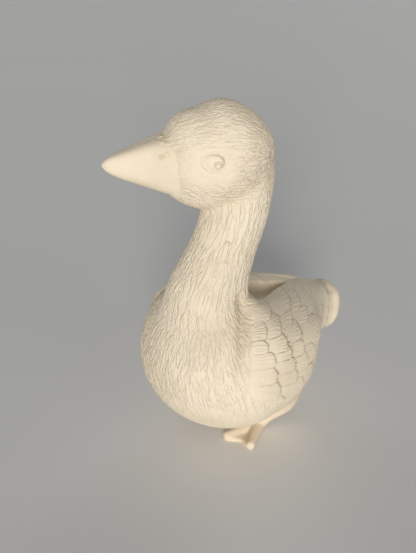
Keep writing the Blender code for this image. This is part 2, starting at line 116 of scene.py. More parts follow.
# Rounds of the wet sponge over each join, and over everything at the end
BREAST_SPONGE = 140
NAPE_SPONGE = 40
THIGH_SPONGE = 190
TAIL_SPONGE = 45
NECK_ROOT_SPONGE = 45
LAST_SPONGE = 5

# Place along the rear; half width, widest level, wing crest and underside
REAR_STATIONS = (
    (0.00, 1.00, 0.00, 0.760, -1.00),
    (0.18, 0.97, 0.02, 0.648, -1.00),
    (0.40, 0.80, 0.08, 0.550, -0.96),
    (0.61, 0.44, 0.08, 0.438, -0.62),
    (0.75, 0.29, 0.02, 0.300, -0.46),
    (0.86, 0.25, -0.04, 0.21, -0.48),
    (0.95, 0.23, -0.08, 0.16, -0.46),
    (1.00, 0.00, -0.14, -0.14, -0.14),
)
# Back and up from the neck's top, and radius as a share
NECK_STATIONS = (
    (0.001, 0.026, 0.94),
    (0.001, 0.017, 1.06),
    (0.000, 0.000, 1.01),
    (-0.0037, -0.013, 0.97),
    (-0.0100, -0.026, 0.98),
    (-0.0165, -0.038, 1.08),
    (-0.0213, -0.050, 1.27),
    (-0.0215, -0.060, 1.47),
    (-0.0205, -0.070, 1.74),
    (-0.0180, -0.082, 2.02),
)
# Place along the head, half width, rise and drop as shares
HEAD_STATIONS = (
    (-1.00, 0.00, 0.00, 0.10),
    (-0.93, 0.36, 0.26, 0.50),
    (-0.78, 0.62, 0.53, 0.78),
    (-0.45, 0.90, 0.83, 0.96),
    (-0.05, 1.00, 0.99, 1.00),
    (0.40, 0.90, 0.88, 0.97),
    (0.75, 0.70, 0.77, 0.84),
    (0.97, 0.52, 0.57, 0.69),
    (1.06, 0.44, 0.30, 0.60),
)

# Wing feathers, front rows first, in mm on the wing's own skin: tip back, tip up, half width, length, droop
FEATHERS = (
    (-6.6, 30.6, 4.7, 18, 0.15),
    (-9.2, 23.2, 3.5, 17, 0.15),
    (-7.0, 15.8, 4.4, 19, 0.16),
    (-7.0, 6.4, 5.2, 20, 0.18),
    (-4.4, -4.8, 6.8, 22, 0.22),
    (0.5, -15.5, 5.8, 24, 0.30),
    (-1.0, 39.0, 4.6, 16, 0.10),
    (4.7, 30.2, 5.6, 18, 0.14),
    (4.3, 21.4, 4.6, 17, 0.15),
    (5.6, 15.4, 3.7, 16, 0.16),
    (7.2, 7.9, 4.5, 17, 0.20),
    (9.6, -0.8, 5.0, 18, 0.26),
    (17.4, -12.2, 7.4, 27, 0.36),
    (18.4, 37.6, 5.4, 20, 0.05),
    (16.7, 30.0, 5.1, 16, 0.12),
    (19.8, 21.7, 4.8, 18, 0.14),
    (17.4, 13.9, 4.7, 16, 0.16),
    (20.0, 3.4, 7.0, 20, 0.24),
    (27.4, 34.2, 5.0, 18, 0.05),
    (31.2, 25.8, 4.8, 17, 0.10),
    (41.4, 33.0, 8.4, 30, -0.08),
    (28.6, 5.0, 6.4, 22, 0.20),
    (27.0, -7.4, 7.0, 22, 0.34),
    (40.0, 14.6, 7.8, 26, 0.08),
)
# Heights on the wing's skin from and to, and how far its front edge falls back between them
WING_FRONT = -0.0240
WING_FRONT_BENDS = ((0.005, 0.033, 0.0055), (0.033, 0.046, 0.0022), (0.0, -0.012, 0.004))
WING_FRONT_STEP = 0.0022
WING_FOOT_FADE = 0.009
WING_CREST_PLACE = 0.0292
WING_CREST_TAPER = 0.385
WING_PROUD = 0.0009
WING_FLANK = 0.040
WING_BACK_SHARE = 0.79
WING_UP_SHARE = 0.50
FEATHER_LIFT = 0.0015
FEATHER_ROUNDNESS = 2.4
FEATHER_TIP_SHARE = 0.80
FEATHER_EDGE = 0.00035
FEATHER_CUT_WIDTH = 0.00025
FEATHER_SHADOW_WIDTH = 0.0007
PAD_FADE = (0.018, 0.052)
BARB_GAP = 0.0016
BARB_CUT = 0.00015
VALLEY_DEPTH = 0.0034
VALLEY_PLACE = 0.0052
VALLEY_WIDTH = 0.0044
VALLEY_SHADE = 0.62
LIP_DIP_DEPTH = 0.0004
LIP_DIP_PLACE = 0.0012
LIP_DIP_WIDTH = 0.0014
LIP_SHADE = 0.10

TAIL_PLATE_START = 0.0865
TAIL_STEP_REACH = 0.0110
TAIL_STEP_SLANT = 0.93
TAIL_STEP_WIDTH = 0.0026
TAIL_TOP_FALL = 0.0010
TAIL_PLATE_PROUD = 0.0004
TAIL_WAIST_FILL = 0.0012
TAIL_BARB_WIDTH = 0.0029
COVERT_START = 0.0735
COVERT_LENGTH = 0.0095
COVERT_WIDTH = 0.0085

EYE_FORWARD = 0.0100
EYE_LIFT = 0.0011
EYE_RADIUS = 0.0040
EYE_STRETCH = 1.16
EYEBALL_RISE = 0.0012
EYEBALL_SINK = 0.0009
EYE_GROOVE_WIDTH = 0.00048
EYE_GROOVE_DEPTH = 0.00030
EYE_GROOVE_REAR_DEPTH = 0.00075
LID_RISE = 0.00030
LID_WIDTH = 0.0006
LID_FOLD_DEPTH = 0.00025
LID_FOLD_WIDTH = 0.0007
HOOK_WIDTH = 0.0006
HOOK_DEPTH = 0.0006
PUPIL_RADIUS = 0.0016
PUPIL_RISE = 0.0009
PUPIL_MOAT_RADIUS = 0.0021
PUPIL_MOAT_WIDTH = 0.00045
PUPIL_MOAT_DEPTH = 0.0007

NOSTRIL_FORWARD = 0.0054
NOSTRIL_LIFT = 0.0028
NOSTRIL_WIDTH = 0.0010
NOSTRIL_DEPTH = 0.0013
NOSTRIL_LIP_RADIUS = 0.0019
NOSTRIL_LIP_RISE = 0.00035
KNOB_RADIUS = 0.0013
KNOB_RISE = 0.0005
CREASE_WIDTH = 0.0005
CREASE_DEPTH = 0.00030

# Small clay beads: x, y, z, radius and height in mm
CLAY_BEADS = (
    (13.6, -10.3, 133.4, 1.6, 0.95),
    (9.1, -9.8, 142.2, 1.0, 0.5),
    (15.9, -13.9, 123.9, 1.1, 0.5),
    (20.5, 13.1, 173.3, 1.1, 0.5),
    (-17.8, -29.8, 190.8, 1.7, 0.6),
)

# Casting pinholes on both cheeks: place along the head and up from its middle, in mm
PINHOLES = (
    (33.3, -3.0), (21.6, 3.6), (21.1, -1.0), (11.5, -10.4),
    (8.6, -9.1), (26.8, -0.6), (16.3, -6.5), (30.4, 4.4),
)
PINHOLE_RADIUS = 0.00042
PINHOLE_DEPTH = 0.00045

STROKE_SEED = 7
STROKE_GAP = 0.00135
STROKE_LENGTH = 0.0056
STROKE_CROWDING = 7.0
STROKE_STEP = 0.0005
STROKE_WAVE = 0.50
STROKE_WAVE_LENGTH = 0.0040
STROKE_HALF_WIDTH = 0.00031
STROKE_DEPTH = 0.00043
# Least and most of each stroke's length, cut and wave as shares, and its spread of turn in radians
STROKE_LENGTHS = (0.65, 1.45)
STROKE_CUTS = (0.6, 1.1)
STROKE_SWINGS = (0.4, 1.0)
STROKE_TURN = 0.09
UNTIDY_TURN = 0.30
FAINTEST_STROKE = 0.08
CROWDED_ALONG = 0.72
CROWDED_ACROSS = 0.80
STROKE_SHADE = 0.20
PINHOLE_SHADE = 0.6

# The finest combed lines, from the skin's own lie: lines a metre across and along, and their depth
THREADS_ACROSS = 420.0
THREADS_ALONG = 75.0
HEAD_THREADS_ACROSS = 480.0
HEAD_THREADS_ALONG = 110.0
THREAD_DEPTH = 0.00026
# The radii that those lines are laid out on: the neck's, the breast's and the head's
SLIM_RADIUS = 0.020
STOUT_RADIUS = 0.043
HEAD_RADIUS = 0.027
BARB_DEPTH = 0.00012

# The bisque: colours, the scales of its noises in cycles a metre, and its shares; the feet, hollow and line
# browns are painted shade
CREAM = (0.800, 0.690, 0.520, 1)
PALE_CREAM = (0.860, 0.755, 0.590, 1)
SPECK_BROWN = (0.52, 0.42, 0.30, 1)
FEET_SHADE_COLOUR = (0.74, 0.605, 0.44, 1)
HOLLOW_SHADE_BROWN = (0.36, 0.28, 0.185, 1)
LINE_SHADE_BROWN = (0.45, 0.36, 0.25, 1)
CLOUD_SCALE = 38
SPECK_SCALE = 900
GRAIN_SCALE = 1500
DRAG_SCALE = 620
SPECK_SHARE = 0.35
FEET_SHADE_SHARE = 0.50
HOLLOW_SHADE_SHARE = 0.50
LINE_SHADE_SHARE = 0.05
BARB_SHADE_SHARE = 0.10
GRAIN_STRENGTH = 0.22
GRAIN_DEPTH = 0.0002
DRAG_STRENGTH = 0.34
DRAG_DEPTH = 0.0005
SMOOTHEST = 0.78
ROUGHEST = 0.90
SHEEN = 0.30

TABLE_TONES = ((0.82, 0.82, 0.81, 1), (0.85, 0.85, 0.84, 1))
TABLE_RADIUS = 7
TABLE_ROUGHNESS = 0.9

# Far soft lights: name, azimuth, elevation and spread in degrees, strength and colour
LIGHTS = (
    ("key_softbox", 45, 12, 22, 2.62, (1.0, 0.975, 0.94)),
    ("side_softbox", 88, 24, 30, 0.12, (1.0, 0.985, 0.96)),
    ("back_softbox", 200, 8, 34, 0.95, (0.96, 0.98, 1.0)),
    ("far_softbox", 268, 8, 34, 0.62, (0.96, 0.98, 1.0)),
)
LIGHT_DISTANCE = 2
LIGHT_AIM = Vector((0, -0.02, 0.11))
ROOM_COLOUR = (0.84, 0.85, 0.87, 1)
ROOM_STRENGTH = 0.175

CAMERA_PLACE = (0.2574, -0.2770, 0.2890)
CAMERA_AZIMUTH = 47
CAMERA_ELEVATION = 27
SENSOR_WIDTH = 36
LENS_LENGTH = 45.57
CLIP_START = 0.01


def through(stations, at):
    """Reads a smooth curve through the stations at the place given."""
    rows = np.array(stations)
    keys = rows[:, 0]
    slopes = np.gradient(rows, keys, axis=0)
    index = int(np.clip(np.searchsorted(keys, at) - 1, 0, len(keys) - 2))
    gap = keys[index + 1] - keys[index]
    u = (at - keys[index]) / gap
    here = (1 + 2 * u) * (1 - u) ** 2 * rows[index] + u * u * (3 - 2 * u) * rows[index + 1]
    return here + u * (1 - u) ** 2 * gap * slopes[index] - u * u * (1 - u) * gap * slopes[index + 1]


def ramp(value, start, end):
    """0 before the start, 1 past the end, and smooth between them."""
    share = np.clip((value - start) / (end - start), 0, 1)
    return share * share * (3 - 2 * share)


def bell(gap, width):
    return np.exp(-(gap / width) ** 2)


def dome(share):
    return np.sqrt(np.clip(1 - share ** 2, 0, 1))


def clay_ring(centre, across, up, half_width, rise, drop, square=1.0, top_square=None):
    """One closed outline of a lump, rounder or squarer by its powers."""
    turns = np.linspace(0, 2 * math.pi, ROUND_POINTS, endpoint=False)
    power = np.where(np.sin(turns) > 0, top_square or square, square)
    side = np.sign(np.cos(turns)) * np.abs(np.cos(turns)) ** power * half_width
    lift = np.sign(np.sin(turns)) * np.abs(np.sin(turns)) ** power
    lift = np.where(lift > 0, lift * rise, lift * drop)
    return [centre + across * s + up * l for s, l in zip(side, lift)]


def wrap_clay(name, rings):
    """A sheet of clay wrapped round the rings, with its seam and its two ends pressed together."""
    first = sum(rings[0], Vector()) / ROUND_POINTS
    last = sum(rings[-1], Vector()) / ROUND_POINTS
    rings = [[first] * ROUND_POINTS] + rings + [[last] * ROUND_POINTS]
    bpy.ops.object.select_all(action="DESELECT")
    bpy.ops.mesh.primitive_grid_add(x_subdivisions=ROUND_POINTS, y_subdivisions=len(rings) - 1)
    lump = bpy.context.object
    lump.name = name
    spots = [spot for ring in rings for spot in ring + ring[:1]]
    lump.data.vertices.foreach_set("co", np.array(spots).ravel())
    bpy.ops.object.mode_set(mode="EDIT")
    bpy.ops.mesh.select_all(action="SELECT")
    bpy.ops.mesh.remove_doubles(threshold=WELD_DISTANCE)
    bpy.ops.mesh.normals_make_consistent(inside=False)
    bpy.ops.object.mode_set(mode="OBJECT")
    return lump


def crest_place(y):
    """How far out from the middle a wing's top edge lies."""
    return WING_CREST_PLACE - WING_CREST_TAPER * y


def throw_body():
    """The round breast, then the body behind it with the hollow between the wings' tops."""
    across = Vector((1, 0, 0))
    up = Vector((0, 0, 1))
    rings = []
    for turn in np.linspace(0.03, 0.5, BREAST_RINGS, endpoint=False):
        y = -BREAST_RADIUS * math.cos(math.pi * turn)
        radius = BREAST_RADIUS * math.sin(math.pi * turn)
        nearness = math.sin(math.pi * turn) ** 4
        rings.append(clay_ring(Vector((0, y, BODY_HEIGHT)), across, up, radius,
                               radius * (1 - BREAST_FLATTENING * nearness), radius * BELLY_SHARE,
                               1 - (1 - BODY_SQUARENESS) * nearness))
    for place in np.sin(np.linspace(0, 0.495 * math.pi, REAR_RINGS)):
        _, width, level, crest, bottom = through(REAR_STATIONS, place)
        y = place * REAR_LENGTH
        centre = Vector((0, y, BODY_HEIGHT + level * BREAST_RADIUS))
        half = max(width * BREAST_RADIUS, THINNEST)
        reach = min(max(crest_place(y), 0.0), 0.9 * half)
        crest_share = (1 - (reach / half) ** (2 / BODY_SQUARENESS)) ** (BODY_SQUARENESS / 2)
        crest_rise = max((crest - level) * BREAST_RADIUS, THINNEST)
        drop = max((level - bottom * BELLY_SHARE) * BREAST_RADIUS, THINNEST)
        under = BODY_SQUARENESS + (UNDER_SQUARENESS - BODY_SQUARENESS) * ramp(place, 0, 0.3)
        ring = clay_ring(centre, across, up, half, crest_rise / crest_share, drop, under, BODY_SQUARENESS)
        clear_of_neck = ramp(y, 0, NECK_ROOT_REACH)
        for spot in ring:
            inside = reach - abs(spot.x)
            if spot.z > centre.z and inside > 0:
                hollow = ramp(inside, WING_TOP_WIDTH, WING_TOP_WIDTH + BACK_HOLLOW_WALL)
                sunk = centre.z + crest_rise - WING_TOP_FALL * inside
                sunk -= BACK_HOLLOW_DEPTH * hollow
                spot.z += (sunk - spot.z) * clear_of_neck
        rings.append(ring)
    return wrap_clay("body", rings)


def roll_clay(name, path, radii):
    """A rolled length of clay along the path."""
    keys = np.linspace(0, 1, len(path))
    rows = [(key, *spot, radius) for key, spot, radius in zip(keys, path, radii)]
    rings = []
    last = None
    for place in np.linspace(0, 1, ROLL_RINGS):
        here = through(rows, place)
        middle, radius = Vector(here[1:4]), here[4]
        ahead, behind = through(rows, min(place + 0.01, 1.0)), through(rows, max(place - 0.01, 0.0))
        along = Vector(ahead[1:4] - behind[1:4])
        along.normalize()
        across = along.cross(Vector((0, 0, 1)))
        if across.length < 0.05:
            across = Vector((1, 0, 0))
        across = (across - along * across.dot(along)).normalized()
        if last is not None and across.dot(last) < 0:
            across = -across
        last = across
        rings.append(clay_ring(middle, across, across.cross(along).normalized(), radius, radius, radius))
    return wrap_clay(name, rings)


def roll_neck():
    path = [NECK_TOP + Vector((0, back, rise)) for back, rise, _ in NECK_STATIONS]
    return roll_clay("neck", path, [share * NECK_RADIUS for _, _, share in NECK_STATIONS])


def head_lie():
    """The head's middle, the way it faces and its left side."""
    forward = Vector((-math.sin(HEAD_YAW), -math.cos(HEAD_YAW), 0))
    side = Vector((math.cos(HEAD_YAW), -math.sin(HEAD_YAW), 0))
    return Vector((0, NECK_TOP.y, HEAD_MIDDLE_HEIGHT)) + forward * HEAD_REACH, forward, side


def press_head():
    centre, forward, side = head_lie()
    up = Vector((0, 0, 1))
    rings = []
    back, front = HEAD_STATIONS[0][0], HEAD_STATIONS[-1][0]
    for turn in np.linspace(0.02, 1, HEAD_RINGS):
        place = back + (front - back) * (1 - math.cos(turn * math.pi * 0.62)) / (1 - math.cos(math.pi * 0.62))
        _, width, rise, drop = through(HEAD_STATIONS, place)
        middle = centre + forward * (place * HEAD_LENGTH / 2)
        rings.append(clay_ring(middle, side, up, max(width * HEAD_WIDTH / 2, HEAD_THINNEST),
                               max(rise * HEAD_RISE, HEAD_THINNEST), max(drop * HEAD_DROP, HEAD_THINNEST)))
    return wrap_clay("head", rings)


def press_beak():
    centre, forward, side = head_lie()
    up = Vector((0, 0, 1))
    base = centre + forward * (HEAD_LENGTH / 2) - up * BEAK_DROOP
    rings = []
    for place in np.sin(np.linspace(-0.35, 0.49 * math.pi, BEAK_RINGS)):
        size = 1 - (1 - BEAK_TIP_SHARE) * max(place, 0) + BEAK_TIP_SHARE * min(place, 0)
        size *= math.sqrt(1 - max(place, 0) ** 10)
        middle = base + forward * (place * BEAK_LENGTH) + up * (BEAK_LIFT * place)
        rings.append(clay_ring(middle, side, up, BEAK_WIDTH / 2 * size, BEAK_DEPTH / 2 * size * BEAK_TOP_SHARE,
                               BEAK_DEPTH / 2 * size, BEAK_SQUARENESS, BEAK_TOP_SQUARENESS))
    return wrap_clay("beak", rings)


def pinch_foot(hand):
    """One leg with its webbed foot; hand is +1 on the left side and -1 on the right."""
    set_back = FOOT_STRIDE if hand < 0 else 0.0
    ankle = Vector((hand * FOOT_SPACING / 2, 0.013 + set_back, FOOT_THICKNESS * 0.6))
    knee = ankle + Vector((0, 0.005, 0.006))
    hip = ankle + Vector((hand * 0.002, 0.017, 0.0175))
    thigh = hip + Vector((hand * 0.002, 0.008, 0.013))
    lumps = [roll_clay("leg", [ankle, knee, hip, thigh], [LEG_RADIUS * share for share in LEG_SHARES])]
    turns = [FOOT_SPLAY * hand + TOE_SPREAD * hand * share for share in (-0.5, 0.5)]
    for turn, length in zip(turns, (INNER_TOE, OUTER_TOE)):
        tip = ankle + Vector((math.sin(turn), -math.cos(turn), 0)) * length
        tip.z = TOE_RADIUS * 0.7
        radii = [HEEL_RADIUS, TOE_RADIUS, TOE_RADIUS * 0.75]
        lumps.append(roll_clay("toe", [ankle, ankle.lerp(tip, 0.6), tip], radii))
    fan = []
    for share in np.linspace(-0.10, 1.10, WEB_POINTS):
        turn = turns[0] + (turns[1] - turns[0]) * share
        inside = min(max(share, 0), 1)
        reach = INNER_TOE + (OUTER_TOE - INNER_TOE) * inside - WEB_DIP * math.sin(inside * math.pi) ** 2
        fan.append((ankle.x + math.sin(turn) * reach, ankle.y - math.cos(turn) * reach, -WEB_SINK))
    fan.append((ankle.x, ankle.y + HEEL_RADIUS, -WEB_SINK))
    bpy.ops.object.select_all(action="DESELECT")
    bpy.ops.mesh.primitive_circle_add(vertices=len(fan), radius=0.02, fill_type="NGON")
    web = bpy.context.object
    web.name = "web"
    web.data.vertices.foreach_set("co", np.array(fan).ravel())
    bpy.ops.object.mode_set(mode="EDIT")
    bpy.ops.mesh.select_all(action="SELECT")
    bpy.ops.mesh.extrude_region_move(TRANSFORM_OT_translate={"value": (0, 0, FOOT_THICKNESS * 0.72)})
    bpy.ops.mesh.select_all(action="SELECT")
    bpy.ops.mesh.normals_make_consistent(inside=False)
    bpy.ops.object.mode_set(mode="OBJECT")
    return lumps + [web]


def finish_with(piece, kind, **settings):
    bpy.context.view_layer.objects.active = piece
    modifier = piece.modifiers.new(kind.lower(), kind)
    for name, value in settings.items():
        setattr(modifier, name, value)
    bpy.ops.object.modifier_apply(modifier=modifier.name)


def press_together(lumps):
    bpy.ops.object.select_all(action="DESELECT")
    for lump in lumps:
        lump.select_set(True)
    bpy.context.view_layer.objects.active = lumps[0]
    bpy.ops.object.join()
    goose = lumps[0]
    goose.name = "bisque_goose"
    finish_with(goose, "REMESH", mode="VOXEL", voxel_size=CLAY_LUMP)
    return goose


def rows_of(items, name, width=3):
    """The values of a mesh's points or faces, one row each."""
    flat = np.empty(len(items) * width)
    items.foreach_get(name, flat)
    return flat.reshape(-1, width)


def pick_up(piece):
    bpy.ops.object.select_all(action="DESELECT")
    piece.select_set(True)
    bpy.context.view_layer.objects.active = piece


def sponge(goose, shares, rounds):
    """Smooths the clay, each point by its share."""
    group = goose.vertex_groups.new(name="wet")
    for index in np.flatnonzero(shares > 0.01):
        group.add([int(index)], float(shares[index]), "REPLACE")
    finish_with(goose, "SMOOTH", factor=0.5, iterations=rounds, vertex_group="wet")
    goose.vertex_groups.remove(goose.vertex_groups["wet"])


def sponge_joins(goose):
    """Runs the neck into the breast and the nape into the head; throat and neck root stay crisp."""
    x, y, z = rows_of(goose.data.vertices, "co").T
    breast = 1 - ramp(np.abs(z - BODY_HEIGHT - BREAST_RADIUS * 0.62), 0.006, 0.031)
    breast *= 1 - ramp(y, -0.008, 0.006)
    sponge(goose, breast, BREAST_SPONGE)
    nape_join = HEAD_MIDDLE_HEIGHT - HEAD_DROP * 0.35
    nape = 1 - ramp(np.abs(z - nape_join), 0.012, 0.022)
    sponge(goose, nape * ramp(y, NECK_TOP.y + 0.002, NECK_TOP.y + 0.010), NAPE_SPONGE)
    thigh = ramp(z, 0.010, 0.015) * (1 - ramp(z, 0.036, 0.052))
    thigh = thigh * ramp(y, 0.010, 0.020) * (1 - ramp(y, 0.058, 0.070))
    sponge(goose, thigh * ramp(np.abs(x), 0.004, 0.010), THIGH_SPONGE)
    sponge(goose, ramp(y, 0.080, 0.088), TAIL_SPONGE)
    neck_root = (1 - ramp(np.abs(x), 0.012, 0.018)) * ramp(y, 0.000, 0.006) * (1 - ramp(y, 0.026, 0.034))
    sponge(goose, neck_root * ramp(z, 0.070, 0.078) * (1 - ramp(z, 0.104, 0.114)), NECK_ROOT_SPONGE)
    finish_with(goose, "SMOOTH", factor=0.5, iterations=LAST_SPONGE)


def wing_lie(spots):
    """Points on the wing's own skin, as if it lay flat: how far back and how far up."""
    x, y, z = spots.T
    over = np.maximum(WING_FLANK - np.abs(x), 0)
    return y - WING_BACK_SHARE * over, z - BODY_HEIGHT + WING_UP_SHARE * over


def wing_front(up):
    """Where the wing's front edge lies, at each height."""
    place = WING_FRONT
    for start, end, bend in WING_FRONT_BENDS:
        place = place + bend * ramp(up, start, end)
    return place


def wing_cover(spots, normals):
    """1 where a folded wing lies, and 0 off it."""
    x, y, z = spots.T
    back, up = wing_lie(spots)
    outer = (1 - ramp(z, 0.100, 0.105)) * ramp(normals[:, 0] * np.sign(x) + normals[:, 2], 0.05, 0.25)
    front = wing_front(up)
    low = np.maximum(-0.0150 - 0.50 * (back + 0.0130), -0.0270)
    cover = outer * ramp(back, front, front + WING_FRONT_STEP) * ramp(up, low, low + WING_FOOT_FADE)
    lip = crest_place(y) - WING_TOP_WIDTH
    lip = lip + 0.0005 * np.sin(y / 0.0009) - 0.0020 * np.abs(np.sin(y / 0.0027))
    return cover * ramp(np.abs(x), lip - 0.0005, lip + 0.0005)


def feather_carving(spots, normals):
    """The wing feathers, front rows on top: their height, the shade of the cuts, and their barbs."""
    back, up = wing_lie(spots)
    height = np.zeros(len(spots))
    shade = np.zeros(len(spots))
    phase = np.zeros(len(spots))
    barbed = np.zeros(len(spots))
    pad = 1 - ramp(back, *PAD_FADE)
    for number, (tip_back, tip_up, half, length, droop) in reversed(list(enumerate(FEATHERS))):
        tip_back, tip_up, half, length = (size / 1000 for size in (tip_back, tip_up, half, length))
        behind = tip_back - back
        ragged = 0.00025 * np.sin(up / 0.0007 + 2.1 * number)
        off = up - tip_up - droop * behind
        v = off / half
        rounded = np.sqrt(np.clip(1 - np.abs(v) ** FEATHER_ROUNDNESS, 0, 1))
        end = half * (1 - rounded) * FEATHER_TIP_SHARE + ragged
        inside = (np.abs(v) < 1) & (behind > end) & (behind < length)
        rim = np.minimum(behind - end, (1 - np.abs(v)) * half * 1.6)
        rounding = 1 - np.exp(-np.maximum(rim, 0) / FEATHER_EDGE)
        share = np.clip(1 - behind / length, 0, 1)
        crown = dome(v)
        fan = np.arctan2(off, np.maximum(length * 1.5 - behind, 0.002) + 0.004) * (length * 1.40)
        here = fan / BARB_GAP + 0.37 * number + 0.12 * np.sin(behind / 0.0014 + number)
        here = here + 0.25 * np.sin(off / 0.0011 + 1.7 * number)
        barb = 0.5 + 0.5 * np.cos(2 * math.pi * here)
        lift = FEATHER_LIFT * (0.12 + 0.88 * share ** 1.3) * (0.60 + 0.40 * crown) * (0.30 + 0.70 * rounding)
        lift -= BARB_CUT * barb * ramp(share, 0.35, 0.85)
        under = np.exp(-np.maximum(end - behind, 0) / FEATHER_SHADOW_WIDTH)
        under = under * (np.abs(v) < 1.02) * (behind <= end)
        edge_cut = 0.25 * np.exp(-np.maximum(rim, 0) / FEATHER_CUT_WIDTH) * (share < 0.5)
        shade = np.where(inside, edge_cut, np.maximum(shade, under))
        height = np.where(inside, lift, height)
        phase = np.where(inside, here, phase)
        barbed = np.where(inside, ramp(share, 0.25, 0.75) * ramp(rim, 0.0002, 0.0008), barbed * (1 - under))
        pad = np.where(inside, 1, pad)
    cover = wing_cover(spots, normals)
    on_top = 1 - 0.45 * ramp(normals[:, 2], 0.5, 0.8)
    return cover * on_top * (WING_PROUD * pad + height), cover * shade, phase, cover * barbed


def valley_carving(spots):
    """The shadowed dips before the wings' front edges and under the lips of their tops."""
    x, y, z = spots.T
    back, up = wing_lie(spots)
    dip = bell(back - wing_front(up) + VALLEY_PLACE, VALLEY_WIDTH)
    dip = dip * ramp(up, 0.006, 0.030) * (1 - ramp(up, 0.050, 0.060))
    inward = crest_place(y) - np.abs(x) - WING_TOP_WIDTH
    under = bell(inward - LIP_DIP_PLACE, LIP_DIP_WIDTH) * ramp(y, 0.006, 0.014) * (1 - ramp(y, 0.056, 0.066))
    under *= ramp(z, 0.070, 0.078) * (1 - ramp(z, 0.100, 0.104))
    return -VALLEY_DEPTH * dip - LIP_DIP_DEPTH * under, np.maximum(VALLEY_SHADE * dip, LIP_SHADE * under)


def on_head(spots):
    """Points as lengths along the head, across it and up from its middle."""
    centre, forward, side = (np.array(v) for v in head_lie())
    relative = spots - centre
    return relative @ forward, relative @ side, relative[:, 2]


def eye_carving(spots):
    """A shallow eyeball in its groove, the lid ring round it and the small bead of the pupil."""
    along, across, lift = on_head(spots)
    ahead = (along - EYE_FORWARD) / EYE_STRETCH
    above = lift - EYE_LIFT
    reach = np.hypot(ahead, above)
    turn = np.arctan2(above, ahead)
    rear = 0.5 - 0.5 * np.cos(turn + 0.5)
    edge = EYE_RADIUS * (1 + 0.02 * np.sin(3 * turn + 0.6))
    groove = bell(reach - edge, EYE_GROOVE_WIDTH)
    lid = bell(reach - 1.22 * edge, LID_WIDTH)
    fold = bell(reach - 1.42 * edge, LID_FOLD_WIDTH) * (1 - rear)
    height = np.where(reach < edge, EYEBALL_RISE * dome(reach / (1.12 * edge)) - EYEBALL_SINK, 0)
    groove_depth = EYE_GROOVE_DEPTH + EYE_GROOVE_REAR_DEPTH * rear
    height += LID_RISE * lid - groove_depth * groove - LID_FOLD_DEPTH * fold
    hook = bell(np.hypot((along - EYE_FORWARD - 0.0048) / 1.6, above + 0.0036), HOOK_WIDTH)
    height -= HOOK_DEPTH * hook
    bead_ahead, bead_above = along - EYE_FORWARD + 0.0020, above + 0.0018
    bead = np.hypot(bead_ahead, bead_above)
    facing = 0.5 + 0.5 * np.cos(np.arctan2(bead_above, bead_ahead) - 1.1)
    moat = bell(bead - PUPIL_MOAT_RADIUS, PUPIL_MOAT_WIDTH) * (0.20 + 0.80 * facing)
    height += PUPIL_RISE * dome(bead / PUPIL_RADIUS) - PUPIL_MOAT_DEPTH * moat
    outside = np.abs(across) > HEAD_WIDTH * 0.22
    shade = np.maximum.reduce((groove * (0.25 + 0.75 * rear), 0.25 * fold, 0.85 * moat, 0.6 * hook))
    return np.where(outside, height, 0), np.where(outside, shade, 0)


def feather_line(lift):
    """Where the head's plumage ends at the beak, from the beak's base forwards, at each height."""
    return -0.0024 + 0.0085 * ramp(lift, 0.002, 0.011) - 0.0012 * ramp(-lift, 0.002, 0.012)


def nostril_carving(spots):
    """The nostril with its lip and knob, and the crease where the plumage meets the beak."""
    along, across, lift = on_head(spots)
    along = along - HEAD_LENGTH / 2
    reach = np.hypot((along - NOSTRIL_FORWARD) / 1.5, lift - NOSTRIL_LIFT)
    pit = bell(reach, NOSTRIL_WIDTH)
    lip = bell(reach - NOSTRIL_LIP_RADIUS, 0.0006)
    knob = dome(np.hypot(along - 0.0022, lift - 0.0040) / KNOB_RADIUS)
    seam = along - feather_line(lift) - 0.0004 * np.sin(lift / 0.0011)
    crease = bell(seam, CREASE_WIDTH) * ramp(lift, -0.020, -0.014) * (1 - ramp(lift, 0.007, 0.012))
    sides = np.abs(across) > 0.003
    height = -NOSTRIL_DEPTH * pit + NOSTRIL_LIP_RISE * lip + KNOB_RISE * knob - CREASE_DEPTH * crease
    return np.where(sides, height, 0), np.where(sides, 0.8 * pit + 0.30 * crease, 0)


def tail_carving(spots, normals):
    """The blunt tail plate, its slanting step, and the barred coverts before it."""
    x, y, z = spots.T
    step_at = TAIL_PLATE_START + TAIL_STEP_REACH - TAIL_STEP_SLANT * np.abs(x)
    plate = ramp(y, step_at, step_at + TAIL_STEP_WIDTH)
    start = COVERT_START - WING_BACK_SHARE * np.abs(x)
    coverts = ramp(y, start, start + 0.0020) * (1 - plate) * ramp(y, 0.040, 0.050)
    row = (y - start) / COVERT_LENGTH
    column = z / COVERT_WIDTH
    frac = (row - 0.30 * (1 - (2 * (column % 1) - 1) ** 2)) % 1
    bars = 0.5 + 0.5 * np.cos(2 * math.pi * (z + 0.0004 * np.sin(y / 0.0021)) / TAIL_BARB_WIDTH)
    height = plate * TAIL_PLATE_PROUD + coverts * (0.0003 * frac ** 1.5 - 0.00020 * bars)
    height += TAIL_WAIST_FILL * ramp(y, 0.058, 0.074) * (1 - ramp(y, step_at - 0.002, step_at + 0.006))
    height -= TAIL_TOP_FALL * ramp(y, 0.084, 0.092) * ramp(normals[:, 2], 0.4, 0.8)
    step = np.exp(-np.maximum(step_at - y, 0) / 0.0012) * (y < step_at) * ramp(y, 0.070, 0.080)
    below_tips = np.exp(-frac / 0.07) + 0.3 * np.exp(-(1 - frac) / 0.05)
    shade = coverts * (0.20 + 0.22 * bars + 0.14 * below_tips) * ramp(y, 0.050, 0.062) + 0.25 * step
    return height, np.clip(shade, 0, 1)


def bead_carving(spots):
    height = np.zeros(len(spots))
    for x, y, z, radius, rise in CLAY_BEADS:
        gap = np.sqrt(((spots - np.array((x, y, z)) / 1000) ** 2).sum(1)) / (radius / 1000)
        height += rise / 1000 * dome(gap) - 0.00015 * bell(gap - 1.3, 0.25)
    return height


